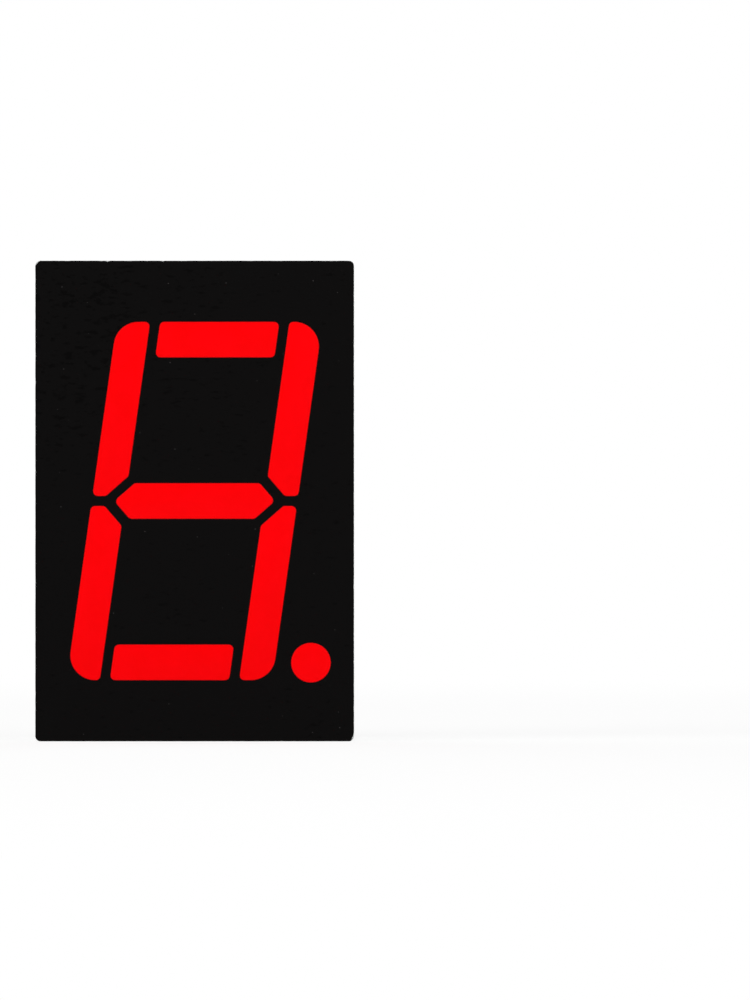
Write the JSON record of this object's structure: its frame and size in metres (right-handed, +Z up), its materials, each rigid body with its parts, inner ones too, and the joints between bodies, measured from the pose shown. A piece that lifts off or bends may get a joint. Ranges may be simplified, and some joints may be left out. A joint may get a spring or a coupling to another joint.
{
  "type": "seven segment display",
  "caption": "Seven segment LED display for one digit with a decimal point, in a white reflector housing with a black face, with its pins at the top and bottom of the back.",
  "frame": {"origin": "centre of the pin grid, on the plane that the four corner feet seat on", "axes": "+Z up along the upright digit, +X to the right as the digit is read, +Y along the pins, away from the face"},
  "size_m": [0.0126, 0.014, 0.019],
  "materials": {
    "white_plastic": "satin moulded white",
    "black_ink": "matt printed black",
    "red_epoxy": "diffused red casting",
    "dark_epoxy": "glossy dark casting",
    "board": "black laminate",
    "copper": "bare copper",
    "led_crystal": "polished crystal",
    "gold": "fine gold wire",
    "tinned_pin": "satin tin plate",
    "solder": "dull solder"
  },
  "bodies": {
    "root": {"housing": "white_plastic", "face_ink": "black_ink", "segment_a": "red_epoxy", "segment_b": "red_epoxy", "segment_c": "red_epoxy", "segment_d": "red_epoxy", "segment_e": "red_epoxy", "segment_f": "red_epoxy", "segment_g": "red_epoxy", "decimal_point": "red_epoxy", "circuit_board": "board", "copper_front": "copper", "copper_back": "copper", "led_die_a": "led_crystal", "led_die_b": "led_crystal", "led_die_c": "led_crystal", "led_die_d": "led_crystal", "led_die_e": "led_crystal", "led_die_f": "led_crystal", "led_die_g": "led_crystal", "led_die_dp": "led_crystal", "bond_wire_a": "gold", "bond_wire_b": "gold", "bond_wire_c": "gold", "bond_wire_d": "gold", "bond_wire_e": "gold", "bond_wire_f": "gold", "bond_wire_g": "gold", "bond_wire_dp": "gold", "pin_1": "tinned_pin", "pin_2": "tinned_pin", "pin_3": "tinned_pin", "pin_4": "tinned_pin", "pin_5": "tinned_pin", "pin_6": "tinned_pin", "pin_7": "tinned_pin", "pin_8": "tinned_pin", "pin_9": "tinned_pin", "pin_10": "tinned_pin", "solder_joint_1": "solder", "solder_joint_2": "solder", "solder_joint_3": "solder", "solder_joint_4": "solder", "solder_joint_5": "solder", "solder_joint_6": "solder", "solder_joint_7": "solder", "solder_joint_8": "solder", "solder_joint_9": "solder", "solder_joint_10": "solder", "back_potting": "dark_epoxy"}
  },
  "joints": []
}
